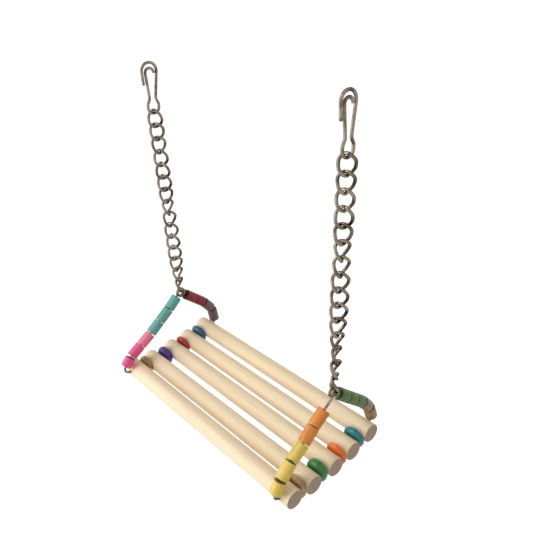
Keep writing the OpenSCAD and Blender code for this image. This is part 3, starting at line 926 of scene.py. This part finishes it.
class BIRDSWING_OT_dowels(bpy.types.Operator):
    """Make the five drilled dowels of the seat"""

    bl_idname = "bird_swing.dowels"
    bl_label = "Dowels"

    def execute(self, context):
        layout = Layout(context.scene)
        seat = layout.seat
        material = dowel_wood(seat, layout.look)
        outline = turned_outline(0.0, seat.dowel_d / 2, seat.dowel_len, seat.dowel_edge)
        for n, around in enumerate(layout.dowel_angles):
            name = f"dowel_{n + 1}"
            solid = bmesh.new()
            add_turned(solid, outline, DOWEL_SEGMENTS)
            mesh = cut_holes(solid, dowel_drills(layout, around), name)
            middle = layout.on_arc(around)
            place = layout.on_seat @ Matrix.Translation((0, middle[0], middle[1])) @ LAID_DOWN
            add_piece(name, "wood", mesh, place, material, n)
        return {"FINISHED"}


class BIRDSWING_OT_spacers(bpy.types.Operator):
    """Make the round beads between the dowels"""

    bl_idname = "bird_swing.spacers"
    bl_label = "Spacer beads"

    def execute(self, context):
        layout = Layout(context.scene)
        seat = layout.seat
        look = layout.look
        paints = {name: lacquered_wood(name + "_lacquer", getattr(look, name)) for name in LACQUERED}
        paints["natural_bead"] = natural_wood("natural_bead_wood", look.natural_bead)
        for side, colours in enumerate(SPACER_COLOURS):
            for n, name in enumerate(colours):
                around = (layout.dowel_angles[n] + layout.dowel_angles[n + 1]) / 2
                thick = seat.spacer_t[n]
                mesh = bored_bead(seat, seat.spacer_d, thick, SPACER_RIM * thick)
                turn = Matrix.Rotation(around - math.pi / 2, 4, "X")
                middle = layout.in_frame(side, layout.on_arc(around))
                place = layout.on_seat @ Matrix.Translation(middle) @ turn
                node = f"{SIDES[side]}_spacer_{n + 1}"
                add_piece(node, "turned", mesh, place, paints[name], SPACER_GRAINS[side] + n)
        return {"FINISHED"}


class BIRDSWING_OT_leg_beads(bpy.types.Operator):
    """Make the tube-shaped beads on the legs of the frames"""

    bl_idname = "bird_swing.leg_beads"
    bl_label = "Leg beads"

    def execute(self, context):
        layout = Layout(context.scene)
        seat = layout.seat
        look = layout.look
        paints = {name: dyed_wood(name + "_dye", getattr(look, name)) for name in DYED}
        for leg, colours in enumerate(LEG_COLOURS):
            for n, name in enumerate(colours):
                middle, toward = layout.legs[leg].bead_place(n)
                long = layout.legs[leg].lengths[n]
                mesh = bored_bead(seat, seat.bead_d, long, seat.bead_crisp)
                turn = Vector((0, 0, 1)).rotation_difference(toward).to_matrix().to_4x4()
                place = layout.on_seat @ Matrix.Translation(middle) @ turn
                node = f"{LEGS[leg]}_bead_{n + 1}"
                add_piece(node, "turned", mesh, place, paints[name], LEG_GRAINS[leg] + n, long / 2)
        return {"FINISHED"}


FRAME_WIRE_SIDES = 18
HOOK_WIRE_SIDES = 20


def leg_eye(leg, wires):
    """The places along the open eye that ends a leg, turned over the top first."""
    along = leg.toward
    up = (Vector((0, 0, 1)) - along.z * along).normalized()
    turn = math.acos(wires.eye_turn_r / (wires.eye_r + wires.eye_turn_r))
    small = bend_points(leg.end, along, up, wires.eye_turn_r, turn)
    start = math.cos(turn) * along + math.sin(turn) * up
    inward = math.sin(turn) * along - math.cos(turn) * up
    return small[1:] + bend_points(small[-1], start, inward, wires.eye_r, wires.eye_arc)[1:]


def frame_line(layout, side):
    """The middle line of a frame's wire, from the front eye through the row of dowels to the rear eye."""
    wires = layout.wires
    front, rear = layout.legs[2 * side : 2 * side + 2]
    row = [layout.in_frame(side, place) for place in (front.low_corner, layout.arc_corner, rear.low_corner)]
    corners = [front.end, *reversed(front.kinks), *row, *rear.kinks, rear.end]
    front_radii = [0] + [wires.kink_r] * len(front.kinks) + [front.bend_r]
    rear_radii = [rear.bend_r] + [wires.kink_r] * len(rear.kinks) + [0]
    points = rounded_line(corners, front_radii + [layout.seat.row_r] + rear_radii)
    return list(reversed(leg_eye(front, wires))) + points + leg_eye(rear, wires)


class BIRDSWING_OT_frame_wires(bpy.types.Operator):
    """Make the two bent wires that the dowels and beads are threaded on"""

    bl_idname = "bird_swing.frame_wires"
    bl_label = "Frame wires"

    def execute(self, context):
        layout = Layout(context.scene)
        material = steel_wire("frame_wire_steel", layout.look, dulled=0.0, gloss=0.2)
        for side in (0, 1):
            mesh = bmesh.new()
            add_wire(mesh, frame_line(layout, side), layout.wires.wire_d, FRAME_WIRE_SIDES)
            add_piece(f"{SIDES[side]}_frame_wire", "bent", mesh, layout.on_seat, material)
        return {"FINISHED"}


LINK_RINGS = 72
LINK_SIDES = 14

# The wire's width in the groove where a link's ends meet, as a share
JOINT_WIDTH = 0.9


def link_wire_line(layout, turn):
    """The middle line of a twisted link with its crosswise directions: its plane turns by a right angle."""
    bend = (layout.hang.link_w - layout.hang.link_wire) / 2
    straight = layout.link_reach - 2 * bend
    half = math.pi * bend
    points = []
    acrosses = []
    for n in range(LINK_RINGS):
        way = n * 2 * (half + straight) / LINK_RINGS
        lower = way >= half + straight
        way = way % (half + straight)
        if way < half:
            out, up = bend * math.cos(way / bend), straight / 2 + bend * math.sin(way / bend)
        else:
            out, up = -bend, straight / 2 - (way - half)
        if lower:
            out, up = -out, -up
        around = turn - math.pi / 2 * up / layout.link_reach
        points.append(Vector((out * math.cos(around), out * math.sin(around), up - layout.link_reach / 2)))
        acrosses.append(Vector((-math.sin(around), math.cos(around), 0)))
    return points, acrosses


def add_link(mesh, layout, side, number):
    """Adds one link of a chain, with the fine groove of its butt joint at the middle of one side."""
    points, acrosses = link_wire_line(layout, math.radians(LINK_TURNS[side][number]))
    place = layout.on_chain(side, number)
    turn = place.to_3x3()
    widths = [layout.hang.link_wire] * LINK_RINGS
    joint = LINK_RINGS // 2 if number % 2 else LINK_RINGS - 1
    widths[joint] *= JOINT_WIDTH
    add_tube(mesh, [place @ p for p in points], [turn @ a for a in acrosses], widths, LINK_SIDES, closed=True)


class BIRDSWING_OT_chains(bpy.types.Operator):
    """Make the two chains of twisted links"""

    bl_idname = "bird_swing.chains"
    bl_label = "Chains"

    def execute(self, context):
        layout = Layout(context.scene)
        material = steel_wire("chain_steel", layout.look, dulled=0.02, gloss=0.17)
        stretches = {
            "top_link": (0, 1),
            "chain": (1, LINK_COUNT - 1),
            "bottom_link": (LINK_COUNT - 1, LINK_COUNT),
        }
        for side in (0, 1):
            for part, (first, end) in stretches.items():
                mesh = bmesh.new()
                for number in range(first, end):
                    add_link(mesh, layout, side, number)
                add_piece(f"{SIDES[side]}_{part}", "wire", mesh, Matrix.Identity(4), material)
        return {"FINISHED"}


def hook_line(hang):
    """The corners of a hook's wire, rearward and upward, from the tail round the eye to the inner tip."""
    waist_z = hang.hook_waist_rise - hang.hook_drop
    shoulder_z = waist_z - hang.hook_shoulder
    crook_z = hang.hook_wire / 2 + hang.hook_crook_rise
    rear_y = hang.hook_crook_w / 2 - hang.hook_crook_shift
    tail_y = rear_y - hang.hook_crook_w
    inner_y = tail_y + hang.hook_inner_front
    tip_y = rear_y - hang.hook_inner_rear
    inner_z = hang.hook_wire / 2
    corners = [
        (tail_y + hang.hook_tail_lean, crook_z - hang.hook_tail),
        (tail_y, crook_z),
        (rear_y, crook_z),
        (hang.hook_waist_w / 2, waist_z),
        (hang.hook_eye_w / 2, shoulder_z),
        (hang.hook_eye_w / 2, -hang.hook_drop),
        (-hang.hook_eye_w / 2, -hang.hook_drop),
        (-hang.hook_eye_w / 2, shoulder_z),
        (-hang.hook_waist_w / 2, waist_z),
        (inner_y, inner_z),
        (tip_y, inner_z),
        (tip_y, inner_z - hang.hook_tip),
    ]
    crook = (hang.hook_crook_w - hang.hook_crook_flat) / 2
    eye = (hang.hook_eye_w - hang.hook_eye_flat) / 2
    waist = hang.hook_waist_bend
    shoulder = hang.hook_shoulder_bend
    inner = hang.hook_inner_bend
    radii = [0, crook, crook, waist, shoulder, eye, eye, shoulder, waist, inner, inner, 0]
    return rounded_line([Vector((0, y, z)) for y, z in corners], radii)


class BIRDSWING_OT_hooks(bpy.types.Operator):
    """Make the two spring wire hooks"""

    bl_idname = "bird_swing.hooks"
    bl_label = "Hooks"

    def execute(self, context):
        layout = Layout(context.scene)
        material = steel_wire("hook_steel", layout.look, dulled=0.02, gloss=0.18)
        points = hook_line(layout.hang)
        for side in (0, 1):
            mesh = bmesh.new()
            add_wire(mesh, points, layout.hang.hook_wire, HOOK_WIRE_SIDES)
            place = Matrix.Translation((OUTWARD[side] * layout.hook_x, 0, 0))
            add_piece(f"{SIDES[side]}_hook", "wire", mesh, place, material)
        return {"FINISHED"}


FLOOR_SIZE = 60.0
FLOOR_GREY = (0.8, 0.8, 0.8, 1.0)
FLOOR_GLOW = 0.66
WHITE = (1.0, 1.0, 1.0, 1.0)
LAMP_REACH = 0.9
SIDE_TOWARD = Vector((-0.5, -0.86, 0.05))
SIDE_SIZE = (0.5, 1.3)
TOP_TOWARD = Vector((-0.2, -0.6, 0.9))
TOP_SIZE = (0.3, 0.3)
NEAREST_SEEN = 10 * MM


def pale_floor():
    """A plain pale floor that keeps the shadow and shows white to the camera and in reflections."""
    paint = Paint("pale_floor")
    paint.surface(base_color=FLOOR_GREY, roughness=0.9, specular_ior_level=0.1, emission_color=WHITE)
    paint.surface(emission_strength=paint.math("MULTIPLY", paint.seen(), FLOOR_GLOW))
    return paint.material


def white_world(scene, strength):
    """Even light from all round, which shows as white to the camera and in reflections."""
    world = bpy.data.worlds.new("studio")
    world.use_nodes = True
    scene.world = world
    nodes = Nodes(world.node_tree)
    back = world.node_tree.nodes["Background"]
    nodes.set(back, "Color", WHITE)
    nodes.set(back, "Strength", nodes.span(nodes.seen(), 0.0, 1.0, strength, 1.0))


def add_lamp(name, toward, target, width, tall, power):
    """Adds a rectangular lamp in a direction from its target, which it faces."""
    data = bpy.data.lights.new(name, "AREA")
    data.shape = "RECTANGLE"
    data.size = width
    data.size_y = tall
    data.energy = power
    at = target + LAMP_REACH * toward.normalized()
    turn = (at - target).to_track_quat("Z", "Y").to_matrix().to_4x4()
    new_object(name, data).matrix_world = Matrix.Translation(at) @ turn


def camera_matrix(view):
    """The camera's place and turn from its azimuth, elevation and roll."""
    turn, tilt, roll = view.camera_turn, view.camera_tilt, view.camera_roll
    flat = math.cos(tilt)
    back = Vector((math.sin(turn) * flat, -math.cos(turn) * flat, math.sin(tilt)))
    right = (-back).cross(Vector((0, 0, 1))).normalized()
    down = (-back).cross(right)
    rolled_right = math.cos(roll) * right + math.sin(roll) * down
    rolled_down = math.cos(roll) * down - math.sin(roll) * right
    rotation = Matrix((rolled_right, -rolled_down, back)).transposed()
    return Matrix.Translation(Vector(view.camera_at)) @ rotation.to_4x4()


class BIRDSWING_OT_stage(bpy.types.Operator):
    """Set the floor, the light and the camera"""

    bl_idname = "bird_swing.stage"
    bl_label = "Floor, light and camera"

    def execute(self, context):
        scene = context.scene
        view = scene.bird_swing_view
        mesh = bmesh.new()
        reach = FLOOR_SIZE / 2
        corners = [(-reach, -reach), (reach, -reach), (reach, reach), (-reach, reach)]
        mesh.faces.new([mesh.verts.new((x, y, -view.floor_drop)) for x, y in corners])
        floor = new_piece("floor", mesh, Matrix.Identity(4), pale_floor())
        floor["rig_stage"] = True
        white_world(scene, view.sky_strength)
        lowest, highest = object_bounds()
        middle = (Vector(lowest) + Vector(highest)) / 2
        add_lamp("side_light", SIDE_TOWARD, middle, *SIDE_SIZE, view.side_power)
        add_lamp("top_light", TOP_TOWARD, middle, *TOP_SIZE, view.top_power)
        data = bpy.data.cameras.new("camera")
        data.lens = view.lens
        data.clip_start = NEAREST_SEEN
        scene.camera = new_object("camera", data)
        scene.camera.matrix_world = camera_matrix(view)
        scene.view_settings.view_transform = "Standard"
        return {"FINISHED"}


OPERATORS = (
    BIRDSWING_OT_dowels,
    BIRDSWING_OT_spacers,
    BIRDSWING_OT_leg_beads,
    BIRDSWING_OT_frame_wires,
    BIRDSWING_OT_chains,
    BIRDSWING_OT_hooks,
    BIRDSWING_OT_stage,
)


class BIRDSWING_PT_panel(bpy.types.Panel):
    """The sizes and colours of the swing and the steps that build it"""

    bl_label = "Bird Swing"
    bl_space_type = "VIEW_3D"
    bl_region_type = "UI"
    bl_category = "Bird Swing"

    def draw(self, context):
        for operator in OPERATORS:
            self.layout.operator(operator.bl_idname)
        for name, group in SETTINGS.items():
            box = self.layout.box()
            for setting in group.__annotations__:
                box.prop(getattr(context.scene, name), setting)


def register():
    for group in SETTINGS.values():
        bpy.utils.register_class(group)
    for name, group in SETTINGS.items():
        setattr(bpy.types.Scene, name, PointerProperty(type=group))
    for operator in OPERATORS:
        bpy.utils.register_class(operator)
    bpy.utils.register_class(BIRDSWING_PT_panel)


def unregister():
    bpy.utils.unregister_class(BIRDSWING_PT_panel)
    for operator in reversed(OPERATORS):
        bpy.utils.unregister_class(operator)
    for name in SETTINGS:
        delattr(bpy.types.Scene, name)
    for group in reversed(list(SETTINGS.values())):
        bpy.utils.unregister_class(group)


def main():
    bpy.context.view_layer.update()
    register()
    bpy.ops.bird_swing.dowels()
    bpy.ops.bird_swing.spacers()
    bpy.ops.bird_swing.leg_beads()
    bpy.ops.bird_swing.frame_wires()
    bpy.ops.bird_swing.chains()
    bpy.ops.bird_swing.hooks()
    bpy.ops.bird_swing.stage()


if __name__ == "__main__":
    main()
